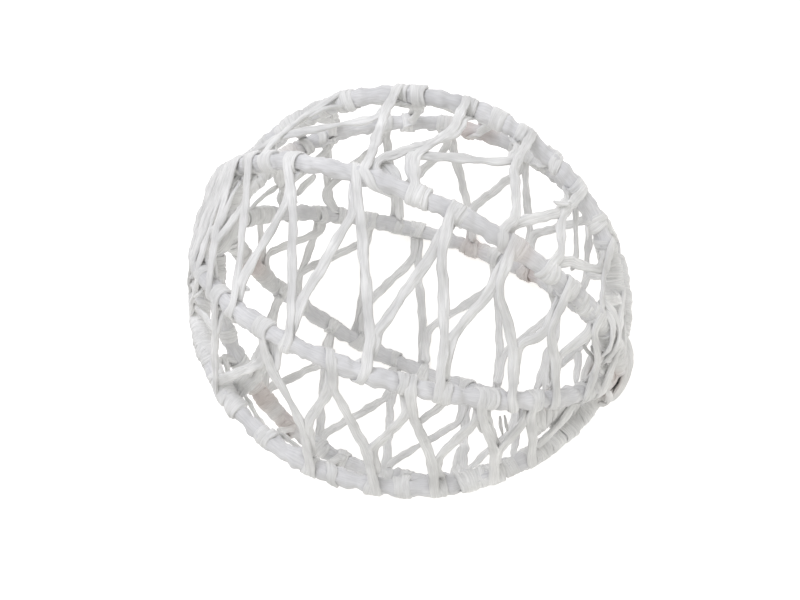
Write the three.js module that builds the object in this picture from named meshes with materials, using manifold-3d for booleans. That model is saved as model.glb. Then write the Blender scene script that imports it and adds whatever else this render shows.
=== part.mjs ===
import * as THREE from "three";
import { mergeVertices } from "three/addons/utils/BufferGeometryUtils.js";
import Module from "manifold-3d";

// Decorative ball of four paper-wrapped hoops that cross at two poles, with paper cord laced from rib
// to rib in every gap and bound round both poles. Millimetres, +Z up. The poles lie along X, and the
// ball rests on the flat spots of its two lowest ribs at z = 0.

const wasm = await Module();
wasm.setup();

// driving dimensions
const ribRadius = 2.2; // a hoop's wire with its paper
const wrapThickness = 1.3; // the lacing where it goes round a rib
const wrapWidth = 4.4;
const uprightRadius = 1.3; // a strand of lacing from rib to rib
const slantRadius = 1; // a strand that ties two uprights together
const slantInset = 0.4; // its ends stop this far short of the middle of the uprights
const gap = 0.35; // left between pieces that touch
const flatDepth = 0.4; // how far the flat spots cut into the lowest ribs
const ribSides = 6;
const ribSteps = 15; // straight lengths that a rib is made of
const cordSides = 4;

// the cord wound round each pole: a disc between two distances from the middle of the ball
const binding = { inner: 54.2, outer: 65, radius: 13, sides: 16 };
const bindingFace = 0.78; // its flat faces' share of its radius
const innerEdge = 1.5; // its rim's rounding towards the ball
const outerEdge = 4; // and away from it
const bindingCrown = 1.2; // how far its outer face domes out
const settleMargin = 0.2; // degrees that turns of lacing keep from a bend of the rib
const floorSize = 200;

// each hoop: turn about the long axis and lean of its plane in degrees, slide of its plane off the middle
const hoops = [
  { turn: 67.3, lean: 2.1, slide: -2.5, radius: 58 },
  { turn: 23.1, lean: -2.2, slide: 0.4, radius: 62 },
  { turn: -19.3, lean: 0.7, slide: -0.6, radius: 60.4 },
  { turn: -59.9, lean: 0.9, slide: 1.9, radius: 59.6 },
];

// eight ribs in order round the ball: the upper halves of the hoops, then their lower halves
const ribs = [1, -1].flatMap((side) => hoops.map((hoop) => ({ ...hoop, side })));

// lacing between each rib and the next. Every row is one strand's place in degrees from the left pole,
// along the first rib and along the second. A slanting strand leaves each one at a share of its length
// from the first rib, and meets the next one at another.
const lacings = [
  { leave: 0.9, meet: 0.2,
    rows: [[57, 53], [74, 76], [91, 94], [109, 112], [127, 128], [147, 143]] },
  { leave: 0.8, meet: 0.22,
    rows: [[30, 29], [46, 56], [61, 75], [81, 95], [103, 113], [118, 132], [134, 145], [150, 157]] },
  { leave: 0.85, meet: 0.34,
    rows: [[37, 31], [50, 52], [68, 84], [87, 102], [106, 118], [124, 133], [138, 143], [151, 153]] },
  { leave: 0.8, meet: 0.24,
    rows: [[41, 42], [60, 50], [72, 68], [92, 84], [110, 104], [126, 128], [148, 142]] },
  { leave: 0.55, meet: 0.88,
    rows: [[32, 27], [56, 42], [77, 62], [98, 84], [121, 107], [136, 125], [152, 143]] },
  { leave: 0.3, meet: 0.88,
    rows: [[35, 24], [50, 44], [71, 61], [93, 76], [117, 102], [134, 125], [151, 143]] },
  { leave: 0.3, meet: 0.88,
    rows: [[34, 30], [51, 41], [70, 60], [94, 78], [113, 101], [135, 127], [152, 149]] },
  { leave: 0.75, meet: 0.24,
    rows: [[35, 40], [47, 65], [68, 83], [88, 100], [108, 119], [140, 138]] },
];

const radians = THREE.MathUtils.degToRad;

// point of a rib at an angle from the left pole
function ribPoint(rib, degrees) {
  const turn = radians(rib.turn);
  const lean = radians(rib.lean);
  const angle = radians(degrees);
  const rise = new THREE.Vector3(0, Math.sin(turn), Math.cos(turn));
  const across = new THREE.Vector3(0, Math.cos(turn), -Math.sin(turn));
  const axis = new THREE.Vector3(Math.cos(lean), 0, 0).addScaledVector(across, Math.sin(lean));
  const normal = across.multiplyScalar(Math.cos(lean)).add(new THREE.Vector3(-Math.sin(lean), 0, 0));
  return normal
    .multiplyScalar(rib.slide)
    .addScaledVector(axis, -rib.radius * Math.cos(angle))
    .addScaledVector(rise, rib.side * rib.radius * Math.sin(angle));
}

// stretch of a rib between two angles, along its straight lengths
class RibCurve extends THREE.Curve {
  constructor(rib, from, to) {
    super();
    Object.assign(this, { rib, from, to });
  }

  getPoint(t) {
    const place = ((this.from + (this.to - this.from) * t) * ribSteps) / 180;
    const step = Math.min(Math.floor(place + 1e-9), ribSteps - 1);
    const [start, end] = [step, step + 1].map((k) => ribPoint(this.rib, (k * 180) / ribSteps));
    return start.lerp(end, place - step);
  }

  // sections stand square to the hoop's plane, with a side of the section facing outwards
  computeFrenetFrames(steps) {
    const middle = ribPoint(this.rib, 0).add(ribPoint(this.rib, 180)).multiplyScalar(0.5);
    const out = (degrees) => ribPoint(this.rib, degrees).sub(middle).normalize();
    const binormal = out(90).cross(out(0)).normalize();
    const frames = { tangents: [], normals: [], binormals: [] };
    for (let k = 0; k <= steps; k += 1) {
      const normal = out(this.from + ((this.to - this.from) * k) / steps);
      frames.normals.push(normal);
      frames.binormals.push(binormal.clone());
      frames.tangents.push(normal.clone().cross(binormal));
    }
    return frames;
  }
}

// closed mesh with its shared vertices merged, for joining and cutting
function solidOf(geometry) {
  const bare = geometry.index ? geometry.clone() : geometry;
  bare.deleteAttribute("normal");
  bare.deleteAttribute("uv");
  const merged = mergeVertices(bare, 1e-4);
  const vertProperties = new Float32Array(merged.attributes.position.array);
  const triVerts = new Uint32Array(merged.index.array);
  return new wasm.Manifold(new wasm.Mesh({ numProp: 3, vertProperties, triVerts }));
}

function geometryOf(solid) {
  const mesh = solid.getMesh();
  const geometry = new THREE.BufferGeometry();
  geometry.setAttribute("position", new THREE.BufferAttribute(mesh.vertProperties, 3));
  geometry.setIndex(new THREE.BufferAttribute(mesh.triVerts, 1));
  return geometry;
}

// corners of a rib's section, or of the paper round it
function sectionOf(Outline, radius) {
  const corner = (k) => radians(((k + 0.5) * 360) / ribSides);
  const points = Array.from({ length: ribSides }, (_, k) => {
    return new THREE.Vector2(radius * Math.cos(corner(k)), radius * Math.sin(corner(k)));
  });
  return new Outline(points);
}

// half hoop from pole to pole
function ribSolid(rib) {
  const extrudePath = new RibCurve(rib, 0, 180);
  const options = { steps: ribSteps, extrudePath, bevelEnabled: false };
  return solidOf(new THREE.ExtrudeGeometry(sectionOf(THREE.Shape, ribRadius), options));
}

// half the width of the turns, in degrees along the rib
const wrapReach = (rib) => THREE.MathUtils.radToDeg(wrapWidth / 2 / rib.radius);

// nearest place on a rib where the turns lie on one straight length
function settle(rib, degrees) {
  const stretch = 180 / ribSteps;
  const reach = wrapReach(rib) + settleMargin;
  const start = Math.floor(degrees / stretch) * stretch;
  return THREE.MathUtils.clamp(degrees, start + reach, start + stretch - reach);
}

// turns of lacing round a rib, as a short sleeve
function wrapSolid(rib, degrees) {
  const reach = wrapReach(rib);
  const extrudePath = new RibCurve(rib, degrees - reach, degrees + reach);
  const section = sectionOf(THREE.Shape, ribRadius + gap + wrapThickness);
  section.holes = [sectionOf(THREE.Path, ribRadius + gap)];
  return solidOf(new THREE.ExtrudeGeometry(section, { steps: 1, extrudePath, bevelEnabled: false }));
}

// straight strand between two points, drawn in by some length at each end
function strandSolid(from, to, radius, inset) {
  const along = to.clone().sub(from).normalize();
  const strand = new THREE.CylinderGeometry(radius, radius, from.distanceTo(to) - 2 * inset, cordSides);
  strand.applyQuaternion(new THREE.Quaternion().setFromUnitVectors(new THREE.Vector3(0, 1, 0), along));
  strand.translate(...from.clone().add(to).multiplyScalar(0.5));
  return solidOf(strand);
}

// point beside a rib, on the way to another point, from where a strand's end keeps clear of the rib
function besideRib(rib, degrees, towards, clear) {
  const middle = new RibCurve(rib, degrees, degrees).getPoint(0);
  const across = ribPoint(rib, degrees + 1).sub(ribPoint(rib, degrees - 1)).normalize();
  const along = towards.clone().sub(middle).normalize();
  const slant = along.dot(across);
  const square = along.addScaledVector(across, -slant).normalize();
  return middle.addScaledVector(square, ribRadius + clear + uprightRadius * Math.abs(slant));
}

// cord laced between two neighbouring ribs: upright strands that come out of the turns round the first
// rib and end on the face of the second, and slanting ones that tie them together
function lacingSolid(first, second, lacing) {
  const parts = [];
  const uprights = lacing.rows.map(([firstDegrees, footDegrees]) => {
    const headDegrees = settle(first, firstDegrees);
    const inTurns = gap + wrapThickness / 4;
    const head = besideRib(first, headDegrees, ribPoint(second, footDegrees), inTurns);
    const foot = besideRib(second, footDegrees, ribPoint(first, headDegrees), gap);
    parts.push(wrapSolid(first, headDegrees), strandSolid(head, foot, uprightRadius, 0));
    return [head, foot];
  });
  const spot = ([head, foot], share) => head.clone().lerp(foot, share);
  uprights.slice(1).forEach((next, k) => {
    const from = spot(uprights[k], lacing.leave);
    parts.push(strandSolid(from, spot(next, lacing.meet), slantRadius, slantInset));
  });
  return wasm.Manifold.union(parts);
}

// cord wound round the crossing of the hoops: a thick rounded disc across the X axis
function bindingSolid(side, grow) {
  const inner = binding.inner - grow;
  const outer = binding.outer + grow;
  const radius = binding.radius + grow;
  const profile = [
    new THREE.Vector2(0, inner),
    new THREE.Vector2(radius * bindingFace, inner),
    new THREE.Vector2(radius, inner + innerEdge),
    new THREE.Vector2(radius, outer - outerEdge),
    new THREE.Vector2(radius * bindingFace, outer - bindingCrown),
    new THREE.Vector2(0, outer),
  ];
  const disc = new THREE.LatheGeometry(profile, binding.sides);
  disc.rotateZ((-side * Math.PI) / 2);
  return solidOf(disc);
}

// block below a height, which cuts the flat spots
function floorSolid(height) {
  const block = new THREE.BoxGeometry(floorSize, floorSize, floorSize);
  block.translate(0, 0, height - floorSize / 2);
  return solidOf(block);
}

const paper = (color, roughness) => new THREE.MeshStandardMaterial({ color, roughness, metalness: 0 });
const ribPaper = paper(0xe4e4e8, 0.8);
const cordPaper = paper(0xdcdcdf, 0.85);

const ribSolids = ribs.map(ribSolid);
const lowest = Math.min(...ribSolids.map((solid) => solid.boundingBox().min[2]));
const floor = floorSolid(lowest + flatDepth);
const sides = { left: -1, right: 1 };
const bindingRoom = Object.values(sides).map((side) => bindingSolid(side, gap));

const group = new THREE.Group();
function addPiece(name, solid, material) {
  const mesh = new THREE.Mesh(geometryOf(solid.subtract(floor)), material.clone());
  mesh.name = name;
  group.add(mesh);
}

ribSolids.forEach((solid, k) => {
  addPiece(`rib_${k + 1}`, solid.subtract(wasm.Manifold.union(bindingRoom)), ribPaper);
});

lacings.forEach((lacing, k) => {
  const next = (k + 1) % ribs.length;
  addPiece(`lacing_${k + 1}_${next + 1}`, lacingSolid(ribs[k], ribs[next], lacing), cordPaper);
});

Object.entries(sides).forEach(([name, side]) => {
  addPiece(`binding_${name}`, bindingSolid(side, 0), cordPaper);
});

// the origin goes under the middle of the ball, on the floor
const box = new THREE.Box3().setFromObject(group);
const middle = box.getCenter(new THREE.Vector3());
group.children.forEach((mesh) => mesh.geometry.translate(-middle.x, -middle.y, -box.min.z));

export default group;
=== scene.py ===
import bpy
import numpy as np
from mathutils import Matrix, Vector


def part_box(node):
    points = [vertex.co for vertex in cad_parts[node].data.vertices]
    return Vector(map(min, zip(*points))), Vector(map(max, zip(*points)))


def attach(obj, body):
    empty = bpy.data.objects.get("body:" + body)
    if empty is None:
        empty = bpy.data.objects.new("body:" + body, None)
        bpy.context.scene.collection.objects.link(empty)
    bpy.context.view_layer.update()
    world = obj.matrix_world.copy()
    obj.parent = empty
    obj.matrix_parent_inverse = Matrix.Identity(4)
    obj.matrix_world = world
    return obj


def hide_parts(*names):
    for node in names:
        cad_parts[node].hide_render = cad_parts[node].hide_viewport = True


# Decorative ball: four wire hoops wound with paper tape, laced with paper cord between the ribs.
# Lengths are in millimetres from the middle of the ball until place() puts them in the frame.

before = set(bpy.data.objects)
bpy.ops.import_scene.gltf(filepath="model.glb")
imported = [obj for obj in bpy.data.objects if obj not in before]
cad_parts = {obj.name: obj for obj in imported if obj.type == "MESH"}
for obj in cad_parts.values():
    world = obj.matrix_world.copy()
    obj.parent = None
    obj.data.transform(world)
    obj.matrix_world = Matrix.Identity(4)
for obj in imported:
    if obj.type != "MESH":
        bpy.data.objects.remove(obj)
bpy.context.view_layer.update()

mm = 0.001
full = 2 * np.pi
softFrom = 3.2  # height over the floor below which soft cord is pressed together
poleBoxes = [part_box(name) for name in ("binding_left", "binding_right")]
ballMiddle = np.array([corner for box in poleBoxes for corner in box]).mean(axis=0)


def place(points):
    return ballMiddle + np.asarray(points) * mm


def unit(vectors):
    return vectors / np.linalg.norm(vectors, axis=-1, keepdims=True)


def dot(a, b):
    return np.sum(a * b, axis=-1, keepdims=True)


def wander(rng, along, spacing):
    # sum of three sine waves of random phase, about one rise and fall in each spacing
    waves = [np.sin(full * (along / (spacing * stretch) + rng.random())) for stretch in (0.62, 1.0, 1.7)]
    return sum(waves) / len(waves)


def evenly(path, step, *others):
    # the same path with its points a step apart, and whatever goes with the points
    lengths = np.concatenate([[0], np.cumsum(np.linalg.norm(np.diff(path, axis=0), axis=1))])
    places = np.linspace(0, lengths[-1], max(int(lengths[-1] / step), 4))
    return [np.stack([np.interp(places, lengths, values[:, k]) for k in range(values.shape[1])], axis=1)
            for values in (path, *others)]


def soften(values, reach):
    # each point becomes the weighted mean of the points within reach of it, with a bell-shaped weight
    reach = min(reach, (len(values) - 1) // 2)
    weights = np.exp(-0.5 * (np.arange(-reach, reach + 1) / (reach / 2)) ** 2)
    weights /= weights.sum()
    before, after = (np.repeat(end, reach, axis=0) for end in (values[:1], values[-1:]))
    padded = np.concatenate([before, values, after])
    return np.stack([np.convolve(padded[:, k], weights, "valid") for k in range(values.shape[1])], axis=1)


def fibres(rng, rows, columns, reach):
    # random heights for a grid, alike along each column for about the reach, between about -1 and 1
    heights = soften(rng.standard_normal((rows, columns)), reach)
    heights = heights + 0.5 * np.roll(heights, 1, axis=1)
    return heights / (2 * heights.std() + 1e-9)


def pressed(heights, limit, depth):
    # heights from the depth below the floor up to the limit are squeezed evenly between floor and limit
    low = limit * (heights + depth) / (limit + depth)
    return np.maximum(np.where(heights < limit, low, heights), 0.0)


def shellFaces(shell):
    # faces between neighbouring rows and columns of the grid, and for each corner its length along the path
    # and round it in millimetres; they are turned over where they would point inwards
    grid, along = shell["points"], shell["along"]
    rows, columns = grid.shape[:2]
    lastRow = rows if shell["ring"] else rows - 1
    i, j = np.meshgrid(np.arange(lastRow), np.arange(columns), indexing="ij")
    nextI, nextJ = (i + 1) % rows, (j + 1) % columns
    quads = np.stack([i * columns + j, nextI * columns + j, nextI * columns + nextJ, i * columns + nextJ],
                     axis=-1).reshape(-1, 4)
    along = np.append(along, along[-1] + along[1] - along[0])
    around = np.arange(columns + 1) * shell["girth"] / columns
    uv = np.stack([
        np.stack([along[i], around[j]], axis=-1), np.stack([along[i + 1], around[j]], axis=-1),
        np.stack([along[i + 1], around[j + 1]], axis=-1), np.stack([along[i], around[j + 1]], axis=-1),
    ], axis=-2).reshape(-1, 4, 2)
    points = grid.reshape(-1, 3)
    a, b, c = (points[quads[:, k]] - points.mean(axis=0) for k in range(3))
    inwards = np.einsum("ij,ij->i", a, np.cross(b, c)).sum() < 0
    return (quads[:, ::-1], uv[:, ::-1], inwards) if inwards else (quads, uv, inwards)


def shellCaps(shell, inwards):
    # the first and the last row of a shell that isn't a ring, each as one face
    rows, columns = shell["points"].shape[:2]
    firstRow = np.arange(columns)
    lastRow = firstRow + (rows - 1) * columns
    if shell["ring"]:
        return []
    return [firstRow[::-1] if inwards else firstRow, lastRow if inwards else lastRow[::-1]]


def stainAt(points):
    # the strongest of the glue spots at each point, where a spot fades as a bell shape about its middle
    stains = np.zeros(len(points))
    for spot, size in stainSpots:
        stains = np.maximum(stains, np.exp(-np.sum((points - spot) ** 2, axis=1) / size ** 2))
    return paperLook["stainShare"] * stains


def shellsToPiece(name, shells, material, softDepth=0.0):
    # each shell is a grid: rows follow its path, columns go round it; ends are capped unless it is a ring
    corners, starts, uvs = [], [], []
    pointCount = cornerCount = 0
    for shell in shells:
        rows, columns = shell["points"].shape[:2]
        quads, uv, inwards = shellFaces(shell)
        corners.append(quads.ravel() + pointCount)
        uvs.append(uv.reshape(-1, 2))
        starts.append(np.arange(len(quads)) * 4 + cornerCount)
        cornerCount += quads.size
        for cap in shellCaps(shell, inwards):
            corners.append(cap + pointCount)
            uvs.append(np.zeros((columns, 2)))
            starts.append(np.array([cornerCount]))
            cornerCount += columns
        pointCount += rows * columns
    points = np.concatenate([shell["points"].reshape(-1, 3) for shell in shells])
    placed = place(points)
    placed[:, 2] = pressed(placed[:, 2], softFrom * mm, softDepth * mm)
    mesh = bpy.data.meshes.new(name)
    mesh.vertices.add(pointCount)
    mesh.vertices.foreach_set("co", placed.astype(np.float32).ravel())
    mesh.loops.add(cornerCount)
    mesh.loops.foreach_set("vertex_index", np.concatenate(corners).astype(np.int32))
    startList = np.concatenate(starts).astype(np.int32)
    mesh.polygons.add(len(startList))
    mesh.polygons.foreach_set("loop_start", startList)
    alongCord = mesh.uv_layers.new(name="alongCord")
    alongCord.data.foreach_set("uv", np.concatenate(uvs).astype(np.float32).ravel())
    stain = mesh.attributes.new("stain", "FLOAT", "POINT")
    stain.data.foreach_set("value", stainAt(points).astype(np.float32))
    mesh.update(calc_edges=True)
    mesh.validate()
    mesh.polygons.foreach_set("use_smooth", np.ones(len(mesh.polygons), bool))
    mesh.materials.append(material)
    piece = bpy.data.objects.new(name, mesh)
    bpy.context.scene.collection.objects.link(piece)
    return piece


def linear(hexColour):
    # screen colour to light: divided evenly near black, and raised to the power of 2.4 above that
    channels = np.array([int(hexColour[k:k + 2], 16) for k in (1, 3, 5)]) / 255
    low = channels / 12.92
    high = ((channels + 0.055) / 1.055) ** 2.4
    return (*np.where(channels <= 0.04045, low, high), 1.0)


def addNode(tree, kind, settings=None, links=None):
    node = tree.nodes.new(kind)
    for key, value in (settings or {}).items():
        if isinstance(key, int) or key in node.inputs.keys():
            node.inputs[key].default_value = value
        else:
            setattr(node, key, value)
    for key, source in (links or {}).items():
        tree.links.new(source, node.inputs[key])
    return node


paperLook = {
    # the dark colours are painted shade in the fibre grooves, mixed with greyer patches of tone
    "tape": {"light": "#E8E8E9", "dark": "#CDCDCE", "fibreLength": 4.0, "fibreWidth": 0.4, "relief": 0.6},
    "cord": {"light": "#F9F9F8", "dark": "#D5D5D4", "fibreLength": 9.0, "fibreWidth": 0.3, "relief": 0.9},
    "stain": "#BFA69B",
    "stainShare": 0.55,  # how much of its colour the middle of a spot takes
    "blotch": 9.0,  # size of the cloudy patches
    "nap": 0.3,  # height of the fibres
    "roughness": 0.82,
}

colourA, colourB, mixedColour = 6, 7, 2  # sockets of a mix node that mixes colours


def paper(name, look):
    # matt uncoated paper: fibres run along the strip, with painted shade where their relief is low,
    # in the grooves; patches of it are a little greyer at random,
    # and here and there a knot has taken up some brown glue
    material = bpy.data.materials.new(name)
    material.use_nodes = True
    tree = material.node_tree
    tree.nodes.clear()
    where = addNode(tree, "ShaderNodeTexCoord")
    fibreScale = (1 / look["fibreLength"], 1 / look["fibreWidth"], 1)
    stretch = addNode(tree, "ShaderNodeMapping", {"Scale": fibreScale}, {"Vector": where.outputs["UV"]})
    fibre = addNode(tree, "ShaderNodeTexNoise", {"Scale": 1.0, "Detail": 3.0, "Roughness": 0.6},
                    {"Vector": stretch.outputs[0]})
    patches = addNode(tree, "ShaderNodeTexNoise", {"Scale": 1 / (paperLook["blotch"] * mm), "Detail": 2.0},
                      {"Vector": where.outputs["Object"]})
    grooveShadeAndPatches = addNode(tree, "ShaderNodeMath", {"operation": "MULTIPLY"},
                   {0: fibre.outputs[0], 1: patches.outputs[0]})
    # painted shade: low fibre relief, in the grooves, gets the dark colour; the patches add random grey tone
    shade = addNode(tree, "ShaderNodeMapRange", {"From Min": 0.12, "From Max": 0.42},
                    {"Value": grooveShadeAndPatches.outputs[0]})
    paintedShadeAndTone = addNode(tree, "ShaderNodeMix",
                   {"data_type": "RGBA", colourA: linear(look["dark"]), colourB: linear(look["light"])},
                   {"Factor": shade.outputs[0]})
    marks = addNode(tree, "ShaderNodeAttribute", {"attribute_name": "stain"})
    stained = addNode(tree, "ShaderNodeMix", {"data_type": "RGBA", colourB: linear(paperLook["stain"])},
                      {"Factor": marks.outputs["Fac"], colourA: paintedShadeAndTone.outputs[mixedColour]})
    bump = addNode(tree, "ShaderNodeBump", {"Strength": look["relief"], "Distance": paperLook["nap"] * mm},
                   {"Height": fibre.outputs[0]})
    shader = addNode(tree, "ShaderNodeBsdfPrincipled", {"Roughness": paperLook["roughness"], "IOR": 1.5},
                     {"Base Color": stained.outputs[mixedColour], "Normal": bump.outputs[0]})
    addNode(tree, "ShaderNodeOutputMaterial", None, {"Surface": shader.outputs[0]})
    return material


tapePaper = paper("windingPaperTape", paperLook["tape"])
cordPaper = paper("twistedPaperCord", paperLook["cord"])
print("materials made")

hoops = [
    {"turn": 67.3, "lean": 2.1, "slide": -2.5, "radius": 58.0},
    {"turn": 23.1, "lean": -2.2, "slide": 0.4, "radius": 62.0},
    {"turn": -19.3, "lean": 0.7, "slide": -0.6, "radius": 60.4},
    {"turn": -59.9, "lean": 0.9, "slide": 1.9, "radius": 59.6},
]
ribs = [dict(hoop, side=side) for side in (1, -1) for hoop in hoops]

tape = {
    "radius": 2.1,  # wire with its paper
    "width": 6.5,  # of the tape from turn to turn
    "edge": 0.42,  # step where a turn lies over the last one
    "lap": 0.14,  # share of a turn in which the step falls away
    "waver": [(7, 0.18), (17, 0.12)],  # waves of the winding round the hoop, and their size in turns
    "lumps": 0.4,
    "lumpWaves": [11, 29, 53, 97],
    "flatten": 0.1,  # out of round
    "crumple": 0.3,
    "rows": 900,
    "columns": 22,
}


def ribFrame(rib, degrees):
    # point of a hoop: its middle, plus its radius along the rise and the pole axis turned by the angle;
    # with it the direction away from the hoop's middle, the direction along the hoop, and the hoop plane's
    turn, lean = np.radians(rib["turn"]), np.radians(rib["lean"])
    angle = np.radians(np.asarray(degrees, float))
    rise = np.array([0, np.sin(turn), np.cos(turn)])
    across = np.array([0, np.cos(turn), -np.sin(turn)])
    axis = np.array([np.cos(lean), 0, 0]) + across * np.sin(lean)
    normal = across * np.cos(lean) - np.array([np.sin(lean), 0, 0])
    cos, sin = np.cos(angle)[..., None], np.sin(angle)[..., None]
    out = -axis * cos + rise * rib["side"] * sin
    along = axis * sin + rise * rib["side"] * cos
    return normal * rib["slide"] + out * rib["radius"], out, along, normal


# glue that soaked through: rib, degrees along it and size of each spot
spotPlaces = [(5, 28, 4.5), (6, 94, 4), (6, 115, 4), (1, 119, 3), (4, 54, 5), (4, 64, 4), (7, 30, 3),
              (7, 84, 4), (7, 91, 3), (5, 140, 4), (2, 171, 4)]
stainSpots = [(ribFrame(ribs[rib], degrees)[0], size) for rib, degrees, size in spotPlaces]


def makeHoop(k, rng):
    # circle carried round a hoop; its radius grows along each turn of the tape and drops at the tape's edge
    rib = ribs[k]
    degrees = np.arange(tape["rows"]) * 360 / tape["rows"]
    middle, out, _, normal = ribFrame(rib, degrees)
    length = np.radians(degrees) * rib["radius"]
    circumference = full * rib["radius"]
    angle = np.arange(tape["columns"]) * full / tape["columns"]
    turnsOfTape = round(circumference / tape["width"])
    slow = sum(size * np.sin(full * length / circumference * waves + k) for waves, size in tape["waver"])
    phase = (degrees / 360 * turnsOfTape + slow)[:, None] + angle / full
    grow = phase % 1
    edge = tape["edge"] * (grow - np.clip((grow - 1 + tape["lap"]) / tape["lap"], 0, 1))
    lumps = np.zeros(len(degrees))
    for waves in tape["lumpWaves"]:
        lumps += np.sin(full * (waves * degrees / 360 + rng.random())) / 3
    radius = tape["radius"] + edge + tape["lumps"] * lumps[:, None]
    radius = radius + tape["crumple"] * fibres(rng, tape["rows"], tape["columns"], 4)
    radius = radius + tape["flatten"] * np.sin(2 * angle + full * rng.random() + degrees[:, None] * 0.31)
    points = middle[:, None] + radius[..., None] * (
        np.cos(angle)[:, None] * out[:, None] + np.sin(angle)[:, None] * normal)
    shell = {"points": points, "ring": True, "along": length, "girth": full * tape["radius"]}
    piece = shellsToPiece(f"hoop_{k + 1}", [shell], tapePaper)
    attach(piece, "root")
    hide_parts(f"rib_{k + 1}", f"rib_{k + 5}")


for k in range(len(hoops)):
    makeHoop(k, np.random.default_rng(20 + k))
print("hoops wound")

cord = {
    "yarns": 4,  # side by side
    "yarn": 0.50,  # radius of each
    "spread": 0.56,  # from yarn to yarn
    "core": 0.42,  # least radius of the strand
    "flatness": 0.55,  # thickness beside width, to space the mesh columns evenly round the flat strand
    "twist": 0.5,  # how far the row of yarns turns, in radians
    "spreading": 0.25,  # how much the yarns part and close, as a share
    "swelling": 0.22,  # how much each yarn's radius changes, as a share
    "drift": 0.2,  # how far each yarn strays sideways and up
    "taper": 3,  # length over which an end is rounded off
    "onRib": 0.9,  # thickness where it is pulled tight round a rib, as a share
    "seat": 2.5,  # from the middle of a rib to the middle of a turn of cord round it
    "pitch": 1.75,  # from turn to turn of close winding on a rib
    "bends": 18,  # points in a full turn round a rib
    "turnHalf": 1.3,  # degrees from the middle of a knot's turns to their start and end
    "uneven": 0.5,  # how much the turns round a rib waver
    "turnChoice": {"turns": [0.5, 1.5, 2.5], "odds": [0.25, 0.6, 0.15]},  # turns round a rib at a knot
    "seatVaries": 0.25,
    "ease": 3,  # more rounding where a strand bends in the open
    "beside": 1.4,  # how far from a strand's line the one tied to it runs
    "girth": 7.0,  # length round the strand
    "fuzz": 0.1,  # uneven heights of the loose fibres
    "ripple": 0.12,  # how far a strand's line wavers in the open
    "columns": 24,
    "step": 0.95,
    "softDepth": 2.7,  # how far below the floor a turn under the lowest rib would reach
}


def strandShell(path, away, tight, rng, size=1.0):
    # round yarns lie side by side, and the section reaches as far as the furthest of them in each direction;
    # the row of yarns lies flat on the ball, turns a little on its way and is flatter where it is tight
    path, away, tight = evenly(path, 0.5, away, tight)
    path = np.where(tight > 0.99, soften(path, 4), soften(path, 4 + cord["ease"]))
    away, tight = soften(away, 10), soften(tight, 6)
    path, away, tight = evenly(path, cord["step"], away, tight)
    tight = tight[:, 0]
    along = unit(np.gradient(path, axis=0))
    up = unit(away - dot(away, along) * along)
    across = np.cross(along, up)
    length = np.concatenate([[0], np.cumsum(np.linalg.norm(np.diff(path, axis=0), axis=1))])
    grain = np.random.default_rng(len(path))
    ripple = cord["ripple"] * wander(grain, length, 8) * (1.3 - tight)
    path = path + ripple[:, None] * across
    twist = cord["twist"] * wander(rng, length, 26) * (1 - tight)
    spread = cord["spread"] * (1 + cord["spreading"] * wander(rng, length, 15))
    turn = np.arange(cord["columns"]) * full / cord["columns"]
    angle = np.arctan2(cord["flatness"] * np.sin(turn), np.cos(turn))
    reach = np.full((len(path), cord["columns"]), cord["core"])
    for k in range(cord["yarns"]):
        radius = cord["yarn"] * (1 + cord["swelling"] * wander(rng, length, 6))
        offset = spread * (k - (cord["yarns"] - 1) / 2) + cord["drift"] * wander(rng, length, 8)
        rise = cord["drift"] * wander(rng, length, 12)
        x = offset * np.cos(twist) - rise * np.sin(twist)
        y = offset * np.sin(twist) + rise * np.cos(twist)
        ahead = x[:, None] * np.cos(angle) + y[:, None] * np.sin(angle)
        inside = ahead ** 2 + (radius ** 2 - x ** 2 - y ** 2)[:, None]
        reach = np.maximum(reach, np.where(inside > 0, ahead + np.sqrt(np.maximum(inside, 0)), 0))
    reach = reach + cord["fuzz"] * fibres(grain, len(path), cord["columns"], 3)
    ends = np.minimum(np.arange(len(path)), np.arange(len(path))[::-1]) * cord["step"]
    taper = np.sqrt(1 - (1 - np.clip((ends + 0.35) / cord["taper"], 0, 1)) ** 2)
    reach = reach * size * taper[:, None]
    thickness = 1 - (1 - cord["onRib"]) * tight
    points = path[:, None] + (reach * np.cos(angle))[..., None] * across[:, None] + (
        reach * np.sin(angle) * thickness[:, None])[..., None] * up[:, None]
    return {"points": points, "ring": False, "along": length, "girth": cord["girth"]}


def knot(rib, degrees, target):
    # directions at a knot: towards the other rib, and over this one away from the ball
    middle, out, along, _ = ribFrame(rib, degrees)
    toward = target - middle
    toward = unit(toward - dot(toward, along) * along)
    over = np.cross(along, toward)
    return toward, over if np.dot(over, out) > 0 else -over


def turnsRound(rib, degrees, target, start, end, seat, rng):
    # uneven helix about the rib, from the first of the degrees to the last and from one angle to another:
    # it is over the rib at angle 0 and on its way to the other rib at a quarter turn
    first, last = degrees
    toward, over = knot(rib, (first + last) / 2, target)
    count = int(abs(end - start) / full * cord["bends"]) + 2
    angle = np.linspace(start, end, count)
    travel = np.linspace(0, 1, count)
    uneven = cord["uneven"] * wander(rng, travel * (abs(end - start) + 1), 5) * np.sin(np.pi * travel)
    middle = ribFrame(rib, first + (last - first) * travel + np.degrees(uneven * 2 / rib["radius"]))[0]
    radial = np.cos(angle)[:, None] * over + np.sin(angle)[:, None] * toward
    return middle + (seat + uneven)[:, None] * radial, radial


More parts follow.
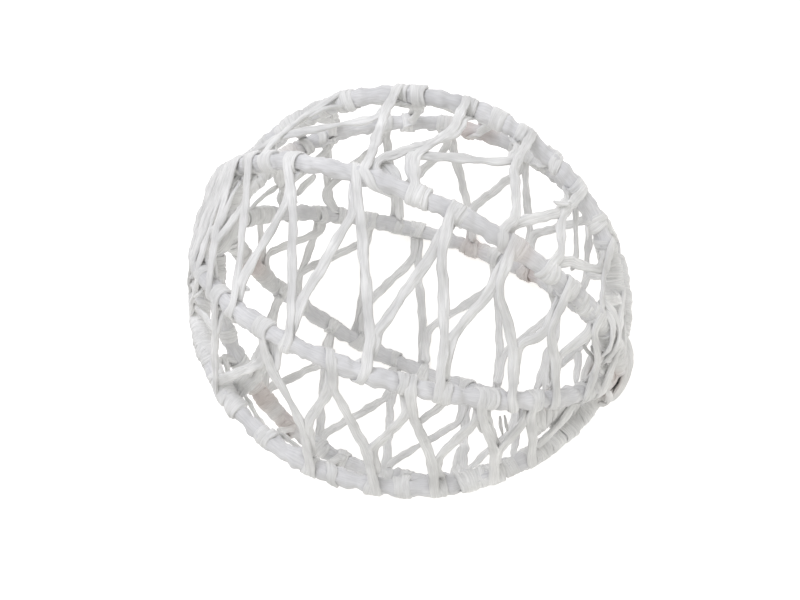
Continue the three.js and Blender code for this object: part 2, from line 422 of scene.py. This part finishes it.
def lacedPath(first, second, rows, rng):
    # one cord for the whole gap: round the first rib, across, round the second rib, and slanting back to the
    # next knot, tied to the strands that it leaves and meets on its way
    strands = []
    for headFrom, headTo, footFrom, footTo, meet, leave, meetPull, leavePull in rows:
        turns = rng.choice(cord["turnChoice"]["turns"], 2, p=cord["turnChoice"]["odds"])
        seats = cord["seat"] + cord["seatVaries"] * rng.random(2)
        over = turnsRound(first, (headFrom, headTo), ribFrame(second, footFrom)[0], -full * turns[0], 0,
                          seats[0], rng)
        under = turnsRound(second, (footFrom, footTo), ribFrame(first, headTo)[0], 0, -full * turns[1],
                           seats[1], rng)
        top, bottom = over[0][-1], under[0][0]
        side = unit(np.cross(bottom - top, top + bottom))
        side = side if np.dot(side, ribFrame(first, headTo)[3]) > 0 else -side
        strands.append({"over": over, "under": under, "top": top, "line": bottom - top, "side": side,
                        "inward": -unit(top + bottom), "meet": meet, "leave": leave,
                        "meetPull": meetPull, "leavePull": leavePull})

    def spot(strand, share, aside, inward=0.0):
        return strand["top"] + strand["line"] * share + strand["side"] * aside + strand["inward"] * inward

    path, away, tight = [], [], []
    for k, strand in enumerate(strands):
        if k > 0:
            before = strands[k - 1]
            beside = cord["beside"]
            path.append(np.array([
                spot(before, (1 + before["leave"]) / 2, before["leavePull"] / 2 + beside * 0.8, 1.0),
                spot(before, before["leave"], before["leavePull"] + beside, 0.3),
                spot(strand, strand["meet"], strand["meetPull"] - beside, 0.3),
                spot(strand, strand["meet"] / 2, strand["meetPull"] / 2 - beside * 0.8, 1.0)]))
            away.append(unit(path[-1]))
            tight.append(np.zeros((4, 1)))
        path.append(strand["over"][0])
        away.append(strand["over"][1])
        tight.append(np.ones((len(path[-1]), 1)))
        path.append(np.array([
            spot(strand, strand["meet"], strand["meetPull"]),
            spot(strand, strand["leave"], strand["leavePull"])]))
        away.append(unit(path[-1]))
        tight.append(np.zeros((2, 1)))
        path.append(strand["under"][0])
        away.append(strand["under"][1])
        tight.append(np.ones((len(path[-1]), 1)))
    return np.concatenate(path), np.concatenate(away), np.concatenate(tight)


# Each row is a strand: degrees along the first rib where its turns start and end, the same along the
# second, the shares of its length where the slanting strand before it is tied on and where the one after it
# leaves, and how far each of them draws it aside. Where a row has only the middles of its turns, "usual"
# has the rest.
lacings = [
    {"rows": [
        [17, 19, 14, 16, 0.3, 0.7, 0, 0], [23, 25, 20, 22, 0.3, 0.7, 0, 0],
        [60, 57, 50, 53, 0.35, 0.7, 3.0, 3.0], [75.5, 72.5, 79, 87, 0.4, 0.92, -0.4, 0.8],
        [93, 90.5, 91.5, 95, 0.37, 0.73, -1.2, 3.9], [106, 109.5, 112.5, 117, 0.4, 0.83, -2.2, 2.8],
        [126, 128.5, 126.5, 129, 0.53, 0.84, -3.1, 1.7], [147, 144, 146, 149, 0.58, 0.82, -2.7, -1.2],
        [156, 158, 157, 159, 0.3, 0.7, 0, 0], [163, 165, 164, 166, 0.3, 0.7, 0, 0]]},
    {"rows": [
        [16, 18, 9, 11, 0.3, 0.7, 0, 0], [19, 21, 12, 14, 0.3, 0.7, 0, 0], [22, 24, 15, 17, 0.3, 0.7, 0, 0],
        [25, 27, 18, 20, 0.3, 0.7, 0, 0], [28, 30, 21, 23, 0.3, 0.7, 0, 0], [31, 33, 24, 26, 0.3, 0.7, 0, 0],
        [33, 34.5, 28, 29.5, 0.3, 0.7, 0, 0], [34.5, 36, 32, 33.5, 0.3, 0.7, 0, 0],
        [36, 37.5, 36.5, 38, 0.3, 0.7, 0, 0], [37.5, 39.5, 47, 44, 0.48, 0.65, 3.0, 2.5],
        [44, 46, 58, 54, 0.32, 0.82, 0.9, 1.1],
        [61, 59.2, 76.3, 73, 0.22, 0.83, 2.0, 1.4], [75.8, 78.3, 96, 92, 0.18, 0.8, 0.5, 1.6],
        [104.5, 101, 112.5, 115.5, 0.21, 0.7, -1.7, 0.6],
        [119.5, 116.2, 130.5, 133.5, 0.26, 0.63, -3.9, 0.3],
        [136.5, 133.2, 143.5, 146, 0.38, 0.59, -5.2, -2.4], [149, 146, 155, 158, 0.17, 0.52, -2.2, 2.9],
        [158, 160, 163, 165, 0.3, 0.7, 0, 0]]},
    {"rows": [
        [14, 16, 13, 15, 0.3, 0.7, 0, 0], [20, 22, 18, 20, 0.3, 0.7, 0, 0], [27, 29, 23, 25, 0.3, 0.7, 0, 0],
        [36, 39, 30, 33, 0.3, 0.8, 0, 0], [49, 51, 54, 57, 0.3, 0.93, 0, 0],
        [66, 69, 87.5, 84.5, 0.18, 0.62, -0.8, 3.1], [85, 88.5, 104, 101, 0.15, 0.63, -1.4, 1.5],
        [103.5, 106.5, 118, 121, 0.2, 0.65, -0.6, 1.4], [126.5, 123, 132.5, 135.5, 0.16, 0.63, -0.1, 1.8],
        [140, 137, 143, 146, 0.17, 0.47, -1.1, 0]]},
    {"usual": [0.24, 0.8, -0.6, 0.6],
     "rows": [[41, 42], [60, 50], [72, 68], [92, 84], [110, 104], [126, 128], [148, 142]]},
    {"usual": [0.3, 0.85, -0.8, 0.8], "backwards": True,
     "rows": [[32, 27], [56, 42], [77, 62], [98, 84], [121, 107], [136, 125], [152, 143]]},
    {"usual": [0.2, 0.7, -0.9, 0.9], "backwards": True,
     "rows": [[35, 24], [50, 44], [71, 61], [93, 76], [117, 102], [134, 125], [151, 143]]},
    {"usual": [0.2, 0.7, -0.9, 0.9], "backwards": True,
     "rows": [[34, 30], [51, 41], [70, 60], [94, 78], [113, 101], [135, 127], [152, 149]]},
    {"usual": [0.3, 0.75, -0.8, 0.8],
     "rows": [[35, 40], [45, 57], [67, 78], [87, 100], [108, 119], [140, 138]]},
]


def lacingRoute(k):
    # the ribs in the order in which the cord goes from one to the other, and the full rows; a lacing that
    # goes backwards is laced from its second rib
    lacing = lacings[k]
    order = [ribs[k], ribs[(k + 1) % len(ribs)]]
    half = cord["turnHalf"]
    rows = []
    for row in lacing["rows"]:
        ends = [middle + way * half for middle in row[:2] for way in (-1, 1)]
        rows.append(row if len(row) > 2 else [*ends, *lacing["usual"]])
    if lacing.get("backwards"):
        order.reverse()
        rows = [[*row[2:4], *row[:2], *row[4:]] for row in rows]
    return *order, rows


# Spare lengths left among the lacing: the points they pass through, and their size beside the main cord's.
looseCords = {
    0: [
        ([[-12.5, 29.6, 50.6], [-7, 28.6, 52.2], [-4.5, 25.6, 53.6], [-5.5, 24.4, 51.6]], 1.0),
        ([[-12.7, 30, 50.4], [-6.6, 29.6, 51.8], [-2.2, 25.5, 54.2], [-2.8, 24, 52]], 0.9),
        ([[37.5, 37, 32], [35.3, 36.5, 33.4], [33.3, 35.1, 36.3], [31.6, 35, 37.9],
          [32.4, 36.2, 36.6]], 0.6),
        ([[41.3, 34.2, 26.9], [43, 31.2, 28], [43.6, 28.8, 29.5]], 0.5),
        ([[36.2, 38.5, 19], [37, 37.1, 20.5], [39.9, 30, 25.4], [42.8, 23.4, 27.5], [42, 20, 30]], 0.8),
        ([[37, 21.5, 39.4], [38.3, 21.9, 38.4], [40.5, 22.6, 35.6], [43.3, 24, 31.2]], 0.8)],
    1: [
        ([[51, 4.4, 31.2], [53.4, 2.6, 27.3], [57.8, -0.7, 16.2]], 0.5),
        ([[50.7, 16.9, 31.4], [53.5, 16, 31.3], [56.7, 14.2, 28.4], [59.5, 10.3, 25.5], [60.1, 5.6, 25.5],
          [58.7, 2.1, 25.5], [57.2, 0.6, 21.3]], 0.8),
        ([[52.1, 15.2, 30], [54.6, 14.2, 31.2], [57.3, 11.2, 29.6], [58.7, 6.7, 28.4], [57.9, 3.5, 28.1],
          [56, 1.9, 24.2]], 0.8),
        ([[59.8, -4.8, 15.7], [61.9, -6, 15.2], [63, -8.6, 8], [62.2, -10.6, 8], [59.5, -9.5, 12]], 0.7),
        ([[53, 4.8, 27.5], [54.7, 3.1, 24.4], [57.8, 1.3, 15.9]], 0.5),
        ([[58.2, -0.1, 21.2], [61, -1.6, 10.8], [63.4, -2.7, -0.1]], 1.2),
        ([[56.5, 0.6, 24], [60, -1.4, 15], [62.4, -4.5, 4]], 1.1),
        ([[61.5, 5, 2], [63.6, 2, 1.5], [63.7, -2.4, 1], [62.8, -6, 2], [60.6, -8.6, 11]], 1.1),
        ([[59.8, 6.2, 10], [62, 3.4, 8.4], [62.3, -0.9, 7.4], [61.5, -5, 10.7], [59.4, -7.6, 16.4]], 1.1),
        ([[-33.1, -12.8, 48.4], [-31.9, -11.3, 49.5], [-30.3, -11, 50.6], [-30.2, -12.1, 50.4]], 0.6)],
    2: [
        ([[-23, -20.7, 50.8], [-21.8, -24, 49.9], [-21.3, -28.7, 47.6]], 1.1),
        ([[50.8, -9.9, 27.2], [51.8, -13, 23.9], [51.9, -17.1, 20.8], [50.8, -20.9, 20.1]], 1.2),
        ([[52, -9, 25.2], [53.4, -11.8, 20.9], [53.7, -15.5, 17.3], [52.1, -19.4, 18.2]], 1.2),
        ([[53.4, -8, 22.4], [54.8, -10.8, 17.4], [55.3, -14.3, 12.8], [53.8, -17.9, 14.3]], 1.1),
        ([[43.3, -13.9, 37.6], [44.2, -16.1, 35.6], [46.1, -19.2, 31.5], [49.1, -22.4, 23.8]], 1.1),
        ([[54.7, -10, 22.4], [53.7, -15.5, 21.9], [51.3, -21.1, 22.8], [48.6, -27.1, 21.5]], 1.1),
        ([[-19.8, -18.6, 53.2], [-19.3, -20.4, 52.4], [-17.2, -24.9, 51.2], [-17.6, -29.5, 48.6]], 1.0),
        ([[-21.6, -18.8, 52.4], [-21.2, -20.6, 51.7], [-19.6, -25.3, 50.2], [-19.5, -29.6, 47.8]], 1.0),
        ([[-21.5, -20.5, 50.8], [-22.9, -25.4, 47.6], [-28.8, -33.6, 31], [-33.4, -40.6, 21],
          [-34, -44.5, 19]], 1.2),
        ([[-19.2, -20.8, 51.6], [-20.8, -26, 48], [-25.6, -33.7, 33], [-31.7, -41, 21],
          [-32, -44.8, 19]], 1.2),
        ([[26.8, -18.6, 50.6], [25.6, -20.6, 49.6], [23.2, -24.7, 49.3], [20.3, -29, 48.2]], 0.9),
        ([[33.2, -16.7, 43.2], [34.5, -18.5, 45.2], [36, -21.8, 43], [39.2, -27, 35], [41.5, -31, 29]], 1.2),
        ([[32, -17.7, 43.8], [33.5, -19.4, 45], [34.8, -22.3, 43], [36.4, -25.7, 37.9]], 1.1),
        ([[44.5, -13.1, 33.1], [45.8, -15.2, 36], [46.9, -18.3, 33], [48.6, -21.8, 24.2]], 0.9),
        ([[46.1, -12.6, 31.1], [47.3, -14.8, 34], [48.5, -17.8, 31], [49.5, -21.5, 22.5]], 0.9),
        ([[47.8, -11.8, 28.7], [49.1, -14.2, 31.6], [49.9, -16.9, 28], [50, -20.5, 22.4]], 0.9),
        ([[49.5, -11, 26], [50.5, -13.3, 28.7], [50.7, -15.9, 26], [50.3, -19.3, 21.4]], 0.8),
        ([[38.1, -19, 39.4], [39.1, -21.1, 38.8], [40.9, -25.4, 33.2]], 0.35),
        ([[39.2, -18.4, 38.6], [40.1, -20.5, 38.1], [41.7, -24, 33.2]], 0.35)],
    3: [
        ([[24.4, -39.2, -38.3], [25.8, -42.8, -33.2], [27.7, -47.7, -19.4]], 1.1),
        ([[25.3, -39.4, -37.5], [26.7, -43, -32.2], [30.1, -46.4, -18.9]], 1.1)],
    6: [
        ([[38.8, -0.9, -45.7], [40.2, -9.6, -43.5], [40.1, -16.9, -41.4]], 1.1),
        ([[38.8, -0.9, -45.7], [41.1, -9.3, -42.7], [43.4, -15.5, -38.4]], 1.1),
        ([[48.1, 1.3, -35.9], [49.9, -3.5, -33.1], [51.7, -9.3, -26.8]], 1.1)],
    7: [
        ([[-53.6, 24.4, -11.2], [-53.7, 19.4, -18.6], [-53, 15.7, -23.4]], 1.3),
        ([[-53.3, 17, -22], [-55, 13.9, -19.7], [-56.6, 11, -16.5], [-58, 6.6, -16.6],
          [-58.6, 3.6, -17.4]], 0.9),
        ([[-53.3, 17, -22], [-51.2, 15.4, -27.2], [-48.5, 13, -31.8]], 0.9),
        ([[-45.6, 24.9, -30], [-47.9, 20.1, -29.9], [-50, 14.8, -29.7]], 0.9)],
}


def looseShell(points, size, rng):
    # the cord through the given points, well rounded
    points = np.array(points)
    path, = evenly(points, 0.5)
    path = soften(path, 5)
    return strandShell(path, unit(path), np.zeros((len(path), 1)), rng, size)


# Close turns round a rib away from the poles: lacing that they go with, rib, and degrees from and to.
windings = [(0, 0, 36, 52), (1, 1, 138, 152), (2, 3, 28, 62), (2, 3, 124, 140), (3, 4, 45, 66),
            (4, 5, 30, 40), (6, 6, 91, 101), (7, 7, 100, 112)]


def wound(rib, ends, seat, size, rng):
    # turns wound closely round a rib from the first of the degrees to the last
    turns = abs(np.radians(ends[1] - ends[0])) * rib["radius"] / cord["pitch"]
    middle, _, _, normal = ribFrame(rib, sum(ends) / 2)
    path, away = turnsRound(rib, ends, middle + normal * 10, 0, -full * turns, seat, rng)
    return strandShell(path, away, np.ones((len(path), 1)), rng, size)


def makeLacing(k, rng):
    after = (k + 1) % len(ribs)
    shells = [strandShell(*lacedPath(*lacingRoute(k), rng), rng)]
    shells += [looseShell(points, size, rng) for points, size in looseCords.get(k, [])]
    shells += [wound(ribs[rib], (start, end), cord["seat"] - 0.1, 0.8, rng)
               for lacing, rib, start, end in windings if lacing == k]
    piece = shellsToPiece(f"lacing_cord_{k + 1}_{after + 1}", shells, cordPaper, cord["softDepth"])
    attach(piece, "root")
    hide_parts(f"lacing_{k + 1}_{after + 1}")


for k in range(len(lacings)):
    makeLacing(k, np.random.default_rng(50 + k))
print("gaps laced")

lashing = {
    "middle": 59.6,  # from the middle of the ball to the middle of a crossing
    "depth": 5.0,  # and from there outwards and inwards
    # turns across each pole: how many, how far they reach, how far apart, and over how many degrees they fan
    "core": {"strands": 6, "reach": 6.5, "apart": 2.0, "fan": 180},
    "crossed": {"strands": 8, "reach": 7.6, "apart": 2.0, "fan": 80},
    "bundle": {"strands": 6, "reach": 10.0, "apart": 1.2, "fan": 0},
    # heading of the bundle, from the y axis towards the z axis, and how far beside the pole it lies
    "left": {"heading": 166, "shift": -4.0},
    "right": {"heading": 14, "shift": 3.5},
    "askew": 4,  # degrees by which the headings vary
    "reachVaries": 0.06,  # share by which the reaches vary
    "overlap": 1.04,  # turns in a loop
    "bulge": 0.75,  # power of the sine that shapes a loop: below 1 is boxy
    "domeSize": 125,  # twice the radius of the dome that the loops follow
    "tight": 0.7,  # how tight the loops are pulled
    "windFrom": 7.5,  # degrees from the pole where the turns round each rib start
    "windTo": {"left": [33, 38, 32, 44, 27, 24, 23, 28], "right": [37, 27, 24, 37, 27, 24, 24, 31]},
}


def poleLoop(side, heading, reach, aside, rng):
    # flattened loop across the pole: over the ribs on one way and under them on the way back; away from the
    # pole it falls back like a dome, by the square of the distance over twice the dome's radius
    heading = np.radians(heading)
    direction = np.array([0, np.cos(heading), np.sin(heading)])
    beside = np.array([0, -np.sin(heading), np.cos(heading)])
    angle = np.linspace(0, full * lashing["overlap"], 90) + full * rng.random()
    bulge = np.sign(np.sin(angle)) * np.abs(np.sin(angle)) ** lashing["bulge"]
    outward = lashing["middle"] + (lashing["depth"] + 0.4 * rng.random()) * bulge
    across = reach * np.cos(angle)
    drift = aside * (1 - 0.35 * np.cos(angle) ** 2) + 0.5 * wander(rng, angle, 3)
    path = across[:, None] * direction + drift[:, None] * beside
    path[:, 0] = side * (outward - (across ** 2 + drift ** 2) / lashing["domeSize"])
    away = path - np.array([side * (lashing["middle"] - 1), 0, 0])
    return strandShell(path, unit(away), np.full((len(path), 1), lashing["tight"]), rng)


def poleTurns(side, rng):
    # crossed turns hold the ribs together, and a flat bundle of turns side by side lies over them
    bundle = lashing["left" if side < 0 else "right"]
    shells = []
    for turns in (lashing["core"], lashing["crossed"], lashing["bundle"]):
        for k in range(turns["strands"]):
            share = (k + 0.5) / turns["strands"] - 0.5
            if turns["fan"]:
                aside = turns["apart"] * rng.standard_normal()
            else:
                aside = bundle["shift"] + turns["apart"] * share * turns["strands"]
            heading = bundle["heading"] + turns["fan"] * share + lashing["askew"] * rng.standard_normal()
            reach = turns["reach"] * (1 + lashing["reachVaries"] * rng.standard_normal())
            shells.append(poleLoop(side, heading, reach, aside, rng))
    return shells


def ribTurns(side, rng):
    # turns wound closely round each rib next to the pole
    shells = []
    for rib, windTo in zip(ribs, lashing["windTo"]["left" if side < 0 else "right"]):
        start = lashing["windFrom"] + rng.random() * 2
        ends = (start, windTo) if side < 0 else (180 - start, 180 - windTo)
        shells.append(wound(rib, ends, cord["seat"] + 0.15, 0.85, rng))
    return shells


for name, side in (("left", -1), ("right", 1)):
    rng = np.random.default_rng(80 + side)
    piece = shellsToPiece(f"pole_lashing_{name}", poleTurns(side, rng) + ribTurns(side, rng), cordPaper,
                          cord["softDepth"])
    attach(piece, "root")
    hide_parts(f"binding_{name}")
print("poles bound")

stage = {
    "lens": 61.76,
    "cameraAt": [65.0, 10.5, 384.3],
    "cameraRight": (0.9239, 0.3411, -0.1734),
    "cameraAhead": (-0.1724, -0.0335, -0.9845),
    "floor": "#FFFFFF",
    "floorSize": 3.0,
    # painted light: the floor glows so the ball's shadow on it stays white, and lights the ball from below
    "glow": 0.38,  # the floor lights itself a little, as a light table does
    "glowColour": "#FFFCF7",
    "sky": 0.62,
    "skyColour": "#FDFCF9",
    "key": 4.2,
    "keyColour": "#F4F5FF",
    "fill": 1.3,
    "fillColour": "#FFFDF8",
}


def makeFloor():
    size = stage["floorSize"]
    mesh = bpy.data.meshes.new("floor")
    corners = [(-size, -size, 0), (size, -size, 0), (size, size, 0), (-size, size, 0)]
    mesh.from_pydata(corners, [], [(0, 1, 2, 3)])
    material = bpy.data.materials.new("palePlainFloor")
    material.use_nodes = True
    shader = material.node_tree.nodes["Principled BSDF"]
    shader.inputs["Base Color"].default_value = linear(stage["floor"])
    shader.inputs["Roughness"].default_value = 0.9
    # painted light: the floor's glow washes out the ball's shadow on it
    shader.inputs["Emission Color"].default_value = linear(stage["glowColour"])
    shader.inputs["Emission Strength"].default_value = stage["glow"]
    mesh.materials.append(material)
    floor = bpy.data.objects.new("floor", mesh)
    bpy.context.scene.collection.objects.link(floor)


def makeLight(name, position, size, power, colour):
    light = bpy.data.lights.new(name, "AREA")
    light.shape = "DISK"
    light.size = size
    light.energy = power
    light.color = linear(colour)[:3]
    lamp = bpy.data.objects.new(name, light)
    bpy.context.scene.collection.objects.link(lamp)
    lamp.location = position
    lamp.rotation_euler = (Vector(ballMiddle) - Vector(position)).to_track_quat("-Z", "Y").to_euler()


def makeCamera():
    # looks steeply down on the ball, turned so that its poles lie slantwise
    data = bpy.data.cameras.new("camera")
    data.lens = stage["lens"]
    camera = bpy.data.objects.new("camera", data)
    bpy.context.scene.collection.objects.link(camera)
    right = Vector(stage["cameraRight"]).normalized()
    ahead = Vector(stage["cameraAhead"]).normalized()
    up = right.cross(ahead).normalized()
    turned = Matrix((right, up, -ahead)).transposed().to_4x4()
    camera.matrix_world = Matrix.Translation(place(stage["cameraAt"])) @ turned
    bpy.context.scene.camera = camera


makeFloor()
makeLight("keyLight", (-0.35, 0.35, 0.9), 0.7, stage["key"], stage["keyColour"])
makeLight("fillLight", (0.6, -0.5, 0.7), 0.9, stage["fill"], stage["fillColour"])
world = bpy.data.worlds.new("softbox")
world.use_nodes = True
world.node_tree.nodes["Background"].inputs["Color"].default_value = linear(stage["skyColour"])
world.node_tree.nodes["Background"].inputs["Strength"].default_value = stage["sky"]
bpy.context.scene.world = world
bpy.context.scene.view_settings.view_transform = "Standard"
makeCamera()
print("stage lit")
